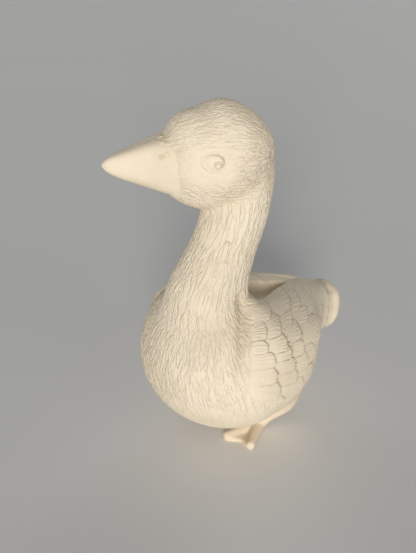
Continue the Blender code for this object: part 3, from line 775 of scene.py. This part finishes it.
def pinhole_carving(spots):
    along, across, lift = on_head(spots)
    pits = np.zeros(len(spots))
    for ahead, above in PINHOLES:
        reach = np.hypot(along - ahead / 1000, lift - above / 1000)
        pits = np.maximum(pits, bell(reach, PINHOLE_RADIUS))
    return pits * (np.abs(across) > 0.005)


def head_share(spots):
    """1 where the plumage runs back over the head, 0 where it runs down the neck."""
    y, z = spots[:, 1], spots[:, 2]
    share = ramp(z, 0.150, 0.160) * (1 - ramp(y, NECK_TOP.y + 0.006, NECK_TOP.y + 0.016))
    return np.maximum(share, ramp(z, 0.176, 0.186))


def comb(spots):
    """The way the plumage runs at each point: back from the beak over the head, then down."""
    x, y, z = spots.T
    centre, forward, side = (np.array(v) for v in head_lie())
    away = spots - (centre + forward * HEAD_LENGTH * 0.55)
    towards = centre - forward * 0.020 - np.array((0, 0, 0.055)) - spots
    over_head = away / (away ** 2).sum(1)[:, None] + towards / (towards ** 2).sum(1)[:, None]
    over_head /= np.linalg.norm(over_head, axis=1)[:, None]
    down = np.zeros_like(spots)
    down[:, 2] = -1
    down[:, 1] -= 0.45 * ramp(z, 0.095, 0.120)
    beside_wing = ramp(np.abs(x), 0.016, 0.036) * ramp(y, -0.040, -0.012) * (1 - ramp(z, 0.105, 0.118))
    down[:, 1] += 0.75 * beside_wing
    head = head_share(spots)[:, None]
    return down * (1 - head) + over_head * head


def plumage_depth(spots, normals):
    """How deep the combed strokes are cut: full on the neck and breast, none on the beak and wings."""
    y, z = spots[:, 1], spots[:, 2]
    along, _, lift = on_head(spots)
    above_neck = ramp(z, 0.146, 0.154)
    beak = above_neck * ramp(along - HEAD_LENGTH / 2 - feather_line(lift), -0.0015, 0.0005)
    from_eye = np.hypot(along - EYE_FORWARD, lift - EYE_LIFT)
    eye = above_neck * (1 - ramp(from_eye, EYE_RADIUS * 1.25, EYE_RADIUS * 1.5))
    from_cheek = np.hypot((along - EYE_FORWARD - 0.004) / 1.45, lift + 0.003)
    cheek = above_neck * (1 - ramp(from_cheek, 0.006, 0.015)) * 0.76
    crown = above_neck * ramp(lift, -0.004, 0.010)
    rump = ramp(y, 0.020, 0.036) * (1 - ramp(z, 0.115, 0.125))
    depth = (1 - 0.25 * crown) * (1 - beak) * (1 - eye) * (1 - cheek) * (1 - rump)
    return depth * ramp(z, 0.018, 0.052) * (1 - wing_cover(spots, normals))


def along_skin(ways, normals):
    """The ways laid flat on the skin, one long."""
    ways = ways - normals * (ways * normals).sum(1)[:, None]
    return ways / np.maximum(np.linalg.norm(ways, axis=1), 1e-6)[:, None]


def draw_strokes(goose):
    """Tool strokes laid along the comb: their points, directions, depths and the skin's facing."""
    dice = random.Random(STROKE_SEED)
    mesh = goose.data
    skin = BVHTree.FromPolygons([v.co for v in mesh.vertices], [f.vertices for f in mesh.polygons])
    areas = rows_of(mesh.polygons, "area", 1)[:, 0]
    running = np.cumsum(areas)
    tries = int(running[-1] / (STROKE_GAP * STROKE_LENGTH) * STROKE_CROWDING)
    picks = np.searchsorted(running, [dice.random() * running[-1] for _ in range(tries)])
    picks = np.minimum(picks, len(areas) - 1)
    seeds = rows_of(mesh.polygons, "center")[picks]
    facings = rows_of(mesh.polygons, "normal")[picks]
    depths = plumage_depth(seeds, facings)
    ways = along_skin(comb(seeds), facings)
    drawn = {}
    starts, lengths, turns, cuts = [], [], [], []
    for seed, depth, way in zip(seeds, depths, ways):
        if depth < FAINTEST_STROKE:
            continue
        cell = tuple(int(c // STROKE_LENGTH) for c in seed)
        crowded = False
        for step in itertools.product((-1, 0, 1), repeat=3):
            for other, other_way in drawn.get((cell[0] + step[0], cell[1] + step[1], cell[2] + step[2]), ()):
                gap = seed - other
                along = gap @ other_way
                across = gap @ gap - along * along
                beside = across / (STROKE_GAP * CROWDED_ACROSS) ** 2
                if (along / (STROKE_LENGTH * CROWDED_ALONG)) ** 2 + beside < 1:
                    crowded = True
                    break
            if crowded:
                break
        if crowded:
            continue
        drawn.setdefault(cell, []).append((seed, way))
        untidy = float(ramp(seed[2], 0.160, 0.178) * ramp(seed[1], -0.004, 0.010))
        length = STROKE_LENGTH * dice.uniform(*STROKE_LENGTHS) * (1 - 0.5 * untidy)
        turn = dice.gauss(0, STROKE_TURN + UNTIDY_TURN * untidy)
        starts.append(seed - way * (length / 2))
        lengths.append(length)
        turns.append(turn)
        cuts.append(depth * dice.uniform(*STROKE_CUTS))
    heads = np.array(starts)
    lengths, turns, cuts = np.array(lengths), np.array(turns), np.array(cuts)
    sway = np.array([dice.uniform(0, 2 * math.pi) for _ in starts])
    swing = np.array([dice.uniform(*STROKE_SWINGS) for _ in starts]) * STROKE_WAVE
    spots, directions, depths_cut, facings_cut = [], [], [], []
    for step in range(int(lengths.max() / STROKE_STEP) + 1):
        live = lengths > step * STROKE_STEP
        if not live.any():
            break
        normals = np.zeros_like(heads)
        for index in np.flatnonzero(live):
            spot, normal, _, _ = skin.find_nearest(Vector(heads[index]))
            heads[index] = spot
            normals[index] = normal
        way = along_skin(comb(heads), normals)
        bend = turns + swing * np.cos(sway + step * STROKE_STEP * 2 * math.pi / STROKE_WAVE_LENGTH)
        way = way * np.cos(bend)[:, None] + np.cross(normals, way) * np.sin(bend)[:, None]
        share = np.clip(step * STROKE_STEP / lengths, 0, 1)
        cut = cuts * np.sin(math.pi * np.clip(share * 0.92 + 0.04, 0, 1)) ** 0.5
        spots.append(heads[live].copy())
        directions.append(way[live])
        depths_cut.append(cut[live])
        facings_cut.append(normals[live])
        heads[live] += way[live] * STROKE_STEP
    return [np.concatenate(rows) for rows in (spots, directions, depths_cut, facings_cut)]


def stroke_carving(spots, strokes):
    """How deep the strokes cut at each point, as a share of the full depth."""
    finder = kdtree.KDTree(len(spots))
    for index, spot in enumerate(spots):
        finder.insert(spot, index)
    finder.balance()
    cut = np.zeros(len(spots))
    reach = STROKE_HALF_WIDTH * 2.2
    wide = 2 * STROKE_HALF_WIDTH ** 2
    for spot, way, depth, normal in zip(*strokes):
        found = finder.find_range(spot, reach + 0.0003)
        if not found:
            continue
        near = np.array([item[1] for item in found])
        gap = spots[near] - spot
        gap -= np.outer(gap @ normal, normal)
        along = gap @ way
        across = (gap * gap).sum(1) - along * along
        here = depth * np.exp(-across / wide) * bell(np.maximum(np.abs(along) - STROKE_STEP, 0), 0.0002)
        cut[near] = np.maximum(cut[near], here)
    return cut


def keep_mask(goose, name, values):
    mask = goose.data.attributes.new(name, "FLOAT", "POINT")
    mask.data.foreach_set("value", np.asarray(values, dtype=np.float32))


def keep_lie(goose, name, values):
    lie = goose.data.attributes.new(name, "FLOAT_VECTOR", "POINT")
    lie.data.foreach_set("vector", np.asarray(values, dtype=np.float32).ravel())


def keep_combing(goose, spots, normals):
    """Round, round and along the neck or the head at each point, for the finest combed lines."""
    x, y, z = spots.T
    axis_z = [NECK_TOP.z + rise for _, rise, _ in NECK_STATIONS][::-1]
    axis_y = [NECK_TOP.y + back for back, _, _ in NECK_STATIONS][::-1]
    front = np.interp(z, [0.040] + axis_z, [0.0] + axis_y) - y
    girth = np.hypot(x, front)
    turn = np.arctan2(x, front)
    keep_lie(goose, "neck_lie", np.column_stack((np.cos(turn), np.sin(turn), z - 0.7 * girth)))
    along, across, lift = on_head(spots)
    turn = np.arctan2(across, lift + 0.002)
    keep_lie(goose, "head_lie", np.column_stack((np.cos(turn), np.sin(turn), along)))
    keep_mask(goose, "stout", ramp(girth, 0.026, 0.038))
    keep_mask(goose, "head", head_share(spots))
    keep_mask(goose, "plumage", plumage_depth(spots, normals))


def thin_skin(goose):
    """Halves the faces where the carving is finest: on the wings, the eyes and the nostrils."""
    mesh = goose.data
    middles = rows_of(mesh.polygons, "center")
    facings = rows_of(mesh.polygons, "normal")
    along, across, lift = on_head(middles)
    face = np.hypot(along - EYE_FORWARD, lift - EYE_LIFT) < 0.0085
    face |= np.hypot(along - HEAD_LENGTH / 2 - 0.005, lift - 0.003) < 0.0045
    face &= np.abs(across) > 0.003
    picked = face | (wing_cover(middles, facings) > 0.05)
    pick_up(goose)
    bpy.ops.object.mode_set(mode="EDIT")
    bpy.ops.mesh.select_mode(type="FACE")
    bpy.ops.mesh.select_all(action="DESELECT")
    bpy.ops.object.mode_set(mode="OBJECT")
    mesh.polygons.foreach_set("select", picked)
    bpy.ops.object.mode_set(mode="EDIT")
    bpy.ops.mesh.subdivide(number_cuts=1)
    bpy.ops.object.mode_set(mode="OBJECT")


def carve(goose):
    """Moves every point by the carving's height there, and keeps the masks that the bisque reads."""
    strokes = draw_strokes(goose)
    finish_with(goose, "SUBSURF", levels=1, render_levels=1)
    thin_skin(goose)
    spots = rows_of(goose.data.vertices, "co")
    normals = rows_of(goose.data.vertices, "normal")
    feathers, feather_shade, phase, barbed = feather_carving(spots, normals)
    dips, dip_shade = valley_carving(spots)
    eyes, eye_shade = eye_carving(spots)
    nostrils, nostril_shade = nostril_carving(spots)
    tail, tail_shade = tail_carving(spots, normals)
    pits = pinhole_carving(spots)
    cut = stroke_carving(spots, strokes)
    height = feathers + dips + eyes + nostrils + tail + bead_carving(spots)
    height = height - STROKE_DEPTH * cut - PINHOLE_DEPTH * pits
    shade = np.maximum.reduce((feather_shade, dip_shade, eye_shade, nostril_shade, tail_shade,
                               STROKE_SHADE * cut, PINHOLE_SHADE * pits))
    # The hollow mask is painted shade: the bisque darkens its colour towards brown in the cuts, dips, grooves
    # and pits.
    keep_mask(goose, "hollow", np.clip(shade, 0, 1))
    keep_mask(goose, "barb", phase)
    keep_mask(goose, "barbed", barbed)
    keep_combing(goose, spots, normals)
    spots += normals * height[:, None]
    goose.data.vertices.foreach_set("co", spots.ravel())
    goose.data.update()


def stand_goose(goose):
    """Thins the mesh, cuts the soles flat and sets the goose where the cast stands."""
    count = sum(len(face.vertices) - 2 for face in goose.data.polygons)
    finish_with(goose, "DECIMATE", ratio=min(1.0, CLAY_TRIANGLES / count), use_collapse_triangulate=True)
    pick_up(goose)
    bpy.ops.object.mode_set(mode="EDIT")
    bpy.ops.mesh.select_all(action="SELECT")
    bpy.ops.mesh.bisect(plane_co=(0, 0, 0), plane_no=(0, 0, 1), use_fill=True, clear_inner=True,
                        threshold=SOLE_DISTANCE)
    bpy.ops.mesh.select_all(action="SELECT")
    bpy.ops.mesh.quads_convert_to_tris()
    bpy.ops.mesh.normals_make_consistent(inside=False)
    bpy.ops.object.mode_set(mode="OBJECT")
    spots = rows_of(goose.data.vertices, "co")
    middle = (spots.min(0) + spots.max(0)) / 2
    cast_middle = (cast_low + cast_high) / 2
    spots[:, 0] += cast_middle.x - middle[0]
    spots[:, 1] += cast_middle.y - middle[1]
    goose.data.vertices.foreach_set("co", spots.ravel())
    goose.data.update()
    goose.data.shade_smooth()


def node(tree, kind, place, **settings):
    made = tree.nodes.new(kind)
    made.location = place
    for name, value in settings.items():
        setattr(made, name, value)
    return made


def plug(tree, value, socket):
    """Sets a socket to a number or colour, or links it to another node's output."""
    if isinstance(value, bpy.types.NodeSocket):
        tree.links.new(value, socket)
    else:
        socket.default_value = value


def mix_colours(tree, place, share, first, second):
    made = node(tree, "ShaderNodeMix", place, data_type="RGBA")
    for name, value in (("Factor", share), ("A", first), ("B", second)):
        plug(tree, value, made.inputs[name])
    return made.outputs["Result"]


def noise_node(tree, place, where, scale, detail, roughness):
    made = node(tree, "ShaderNodeTexNoise", place)
    for name, value in (("Vector", where), ("Scale", scale), ("Detail", detail), ("Roughness", roughness)):
        plug(tree, value, made.inputs[name])
    return made


def range_node(tree, place, value, low, high, out_low, out_high):
    made = node(tree, "ShaderNodeMapRange", place, interpolation_type="SMOOTHSTEP")
    tree.links.new(value, made.inputs["Value"])
    for socket, size in zip(("From Min", "From Max", "To Min", "To Max"), (low, high, out_low, out_high)):
        made.inputs[socket].default_value = size
    return made.outputs["Result"]


def reading(tree, place, name, output):
    return node(tree, "ShaderNodeAttribute", place, attribute_name=name).outputs[output]


def threads(tree, place, lie, across, along, seed):
    """Fine wavy combed lines in a lie: 1 between the lines, 0 in them."""
    x, y = place
    scaled = node(tree, "ShaderNodeVectorMath", (x, y), operation="MULTIPLY_ADD")
    for socket, value in zip(scaled.inputs, (lie, (across, across, along), (seed, seed, seed))):
        plug(tree, value, socket)
    waves = noise_node(tree, (x + 200, y), scaled.outputs["Vector"], 1.0, 1.6, 0.55)
    waves.inputs["Distortion"].default_value = 0.35
    middle = math_node(tree, (x + 400, y), "SUBTRACT", waves.outputs["Fac"], 0.5)
    spread = math_node(tree, (x + 550, y), "ABSOLUTE", middle)
    return range_node(tree, (x + 700, y), spread, 0.0, 0.075, 0, 1)


def blend(tree, place, first, second, share):
    made = node(tree, "ShaderNodeMix", place, data_type="FLOAT")
    for name, value in (("Factor", share), ("A", first), ("B", second)):
        plug(tree, value, made.inputs[name])
    return made.outputs["Result"]


def math_node(tree, place, operation, *values):
    """One math node over links or numbers."""
    made = node(tree, "ShaderNodeMath", place, operation=operation)
    for socket, value in zip(made.inputs, values):
        plug(tree, value, socket)
    return made.outputs[0]


def bump(tree, place, height, strength, distance, before=None):
    made = node(tree, "ShaderNodeBump", place)
    for name, value in (("Height", height), ("Strength", strength), ("Distance", distance), ("Normal", before)):
        if value is not None:
            plug(tree, value, made.inputs[name])
    return made.outputs["Normal"]


def bisque():
    """Unglazed cream bisque: faint clouds, painted shade in the cuts and grooves and under the belly on the
    feet, combed lines and a dry sandy skin.
    """
    clay = bpy.data.materials.new("bisque")
    clay.use_nodes = True
    tree = clay.node_tree
    shader = tree.nodes["Principled BSDF"]
    where = node(tree, "ShaderNodeTexCoord", (-2600, 0)).outputs["Object"]
    hollow = reading(tree, (-2600, -300), "hollow", "Fac")
    plumage = reading(tree, (-2600, -500), "plumage", "Fac")
    head = reading(tree, (-2600, -700), "head", "Fac")
    stout = reading(tree, (-2600, -900), "stout", "Fac")
    neck_lie = reading(tree, (-2600, -1100), "neck_lie", "Vector")
    head_lie_at = reading(tree, (-2600, -1300), "head_lie", "Vector")
    barb = reading(tree, (-2600, -1500), "barb", "Fac")
    barbed = reading(tree, (-2600, -1700), "barbed", "Fac")

    slim_lines = threads(tree, (-2300, -900), neck_lie, SLIM_RADIUS * THREADS_ACROSS, THREADS_ALONG, 3.1)
    stout_lines = threads(tree, (-2300, -1100), neck_lie, STOUT_RADIUS * THREADS_ACROSS, THREADS_ALONG, 11.7)
    head_lines = threads(tree, (-2300, -1300), head_lie_at, HEAD_RADIUS * HEAD_THREADS_ACROSS,
                         HEAD_THREADS_ALONG, 7.3)
    body_lines = blend(tree, (-1400, -1000), slim_lines, stout_lines, stout)
    lines = blend(tree, (-1200, -1100), body_lines, head_lines, head)
    turns = math_node(tree, (-2300, -1500), "MULTIPLY", barb, 2 * math.pi)
    wave = math_node(tree, (-2100, -1500), "COSINE", turns)
    barb_cut = range_node(tree, (-1900, -1500), wave, 1.0, -0.4, 0, 1)

    clouds = noise_node(tree, (-1500, 300), where, CLOUD_SCALE, 4, 0.55).outputs["Fac"]
    cloud_share = range_node(tree, (-1350, 300), clouds, 0.35, 0.65, 0, 1)
    colour = mix_colours(tree, (-1200, 300), cloud_share, CREAM, PALE_CREAM)
    specks = noise_node(tree, (-1500, 0), where, SPECK_SCALE, 2, 0.6).outputs["Fac"]
    speck_share = range_node(tree, (-1350, 0), specks, 0.66, 0.78, 0, SPECK_SHARE)
    colour = mix_colours(tree, (-1000, 200), speck_share, colour, SPECK_BROWN)
    height = node(tree, "ShaderNodeSeparateXYZ", (-1500, -500))
    tree.links.new(where, height.inputs["Vector"])
    # Painted shade under the belly: the colour turns darker and warmer towards the feet.
    feet = range_node(tree, (-1300, -500), height.outputs["Z"], 0.022, 0.008, 0, FEET_SHADE_SHARE)
    colour = mix_colours(tree, (-800, 200), feet, colour, FEET_SHADE_COLOUR)
    # Painted shade: the hollow mask darkens the colour towards brown where the carving falls into shadow.
    hollow_shade = range_node(tree, (-800, -200), hollow, 0.0, 1.0, 0.0, HOLLOW_SHADE_SHARE)
    colour = mix_colours(tree, (-600, 200), hollow_shade, colour, HOLLOW_SHADE_BROWN)
    # Painted shade in the grooves of the combed lines and barbs: the colour darkens towards brown there.
    in_lines = math_node(tree, (-1000, -900), "SUBTRACT", 1.0, lines)
    in_lines = math_node(tree, (-900, -800), "MULTIPLY", in_lines, plumage)
    in_barbs = math_node(tree, (-1000, -1500), "SUBTRACT", 1.0, barb_cut)
    in_barbs = math_node(tree, (-900, -1400), "MULTIPLY", in_barbs, barbed)
    line_shade = math_node(tree, (-800, -900), "MULTIPLY", in_lines, LINE_SHADE_SHARE)
    barb_shade = math_node(tree, (-800, -1500), "MULTIPLY", in_barbs, BARB_SHADE_SHARE)
    groove_shade = math_node(tree, (-600, -1100), "MAXIMUM", line_shade, barb_shade)
    colour = mix_colours(tree, (-400, 200), groove_shade, colour, LINE_SHADE_BROWN)
    tree.links.new(colour, shader.inputs["Base Color"])

    grain = noise_node(tree, (-1200, -700), where, GRAIN_SCALE, 3, 0.65).outputs["Fac"]
    drag = noise_node(tree, (-1200, -500), where, DRAG_SCALE, 3, 0.6).outputs["Fac"]
    skin = bump(tree, (-600, -500), grain, GRAIN_STRENGTH, GRAIN_DEPTH)
    skin = bump(tree, (-400, -500), drag, DRAG_STRENGTH, DRAG_DEPTH, skin)
    skin = bump(tree, (-200, -500), lines, plumage, THREAD_DEPTH, skin)
    skin = bump(tree, (0, -500), barb_cut, barbed, BARB_DEPTH, skin)
    tree.links.new(skin, shader.inputs["Normal"])
    rough = range_node(tree, (-600, -200), clouds, 0.3, 0.7, SMOOTHEST, ROUGHEST)
    tree.links.new(rough, shader.inputs["Roughness"])
    shader.inputs["Specular IOR Level"].default_value = SHEEN
    return clay


def table_paint():
    """A matt pale paint, hardly clouded."""
    paint = bpy.data.materials.new("pale_table")
    paint.use_nodes = True
    tree = paint.node_tree
    shader = tree.nodes["Principled BSDF"]
    where = node(tree, "ShaderNodeTexCoord", (-900, 0)).outputs["Object"]
    clouds = noise_node(tree, (-700, 0), where, 3, 2, 0.5).outputs["Fac"]
    tree.links.new(mix_colours(tree, (-400, 0), clouds, *TABLE_TONES), shader.inputs["Base Color"])
    shader.inputs["Roughness"].default_value = TABLE_ROUGHNESS
    return paint


def lay_floor():
    bpy.ops.object.select_all(action="DESELECT")
    bpy.ops.mesh.primitive_circle_add(vertices=96, radius=TABLE_RADIUS, fill_type="NGON")
    floor = bpy.context.object
    floor.name = "table_top"
    floor.data.materials.append(table_paint())


def out_from(azimuth, elevation):
    """The direction at an azimuth and elevation in degrees; azimuth 0 is before the breast."""
    a, e = math.radians(azimuth), math.radians(elevation)
    return Vector((math.sin(a) * math.cos(e), -math.cos(a) * math.cos(e), math.sin(e)))


def hang_light(name, azimuth, elevation, spread, strength, colour):
    back = out_from(azimuth, elevation)
    lamp = bpy.data.lights.new(name, "SUN")
    lamp.angle = math.radians(spread)
    lamp.energy = strength
    lamp.color = colour
    holder = bpy.data.objects.new(name, lamp)
    bpy.context.scene.collection.objects.link(holder)
    holder.location = LIGHT_AIM + back * LIGHT_DISTANCE
    holder.rotation_euler = back.to_track_quat("Z", "Y").to_euler()


def light_studio():
    bpy.context.scene.view_settings.view_transform = "Standard"
    for light in LIGHTS:
        hang_light(*light)
    world = bpy.data.worlds.new("studio_room")
    bpy.context.scene.world = world
    world.use_nodes = True
    world.node_tree.nodes["Background"].inputs["Color"].default_value = ROOM_COLOUR
    world.node_tree.nodes["Background"].inputs["Strength"].default_value = ROOM_STRENGTH


def set_camera():
    lens = bpy.data.cameras.new("camera")
    lens.sensor_fit = "AUTO"
    lens.sensor_width = SENSOR_WIDTH
    lens.lens = LENS_LENGTH
    lens.clip_start = CLIP_START
    camera = bpy.data.objects.new("camera", lens)
    bpy.context.scene.collection.objects.link(camera)
    camera.location = CAMERA_PLACE
    camera.rotation_euler = out_from(CAMERA_AZIMUTH, CAMERA_ELEVATION).to_track_quat("Z", "Y").to_euler()
    bpy.context.scene.camera = camera


def model_goose():
    lumps = [throw_body(), roll_neck(), press_head(), press_beak()]
    for hand in (1, -1):
        lumps += pinch_foot(hand)
    goose = press_together(lumps)
    sponge_joins(goose)
    carve(goose)
    stand_goose(goose)
    goose.data.materials.clear()
    goose.data.materials.append(bisque())
    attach(goose, "root")
    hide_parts("goose_figurine")
    print("goose triangles", len(goose.data.polygons))


set_camera()
lay_floor()
light_studio()
model_goose()
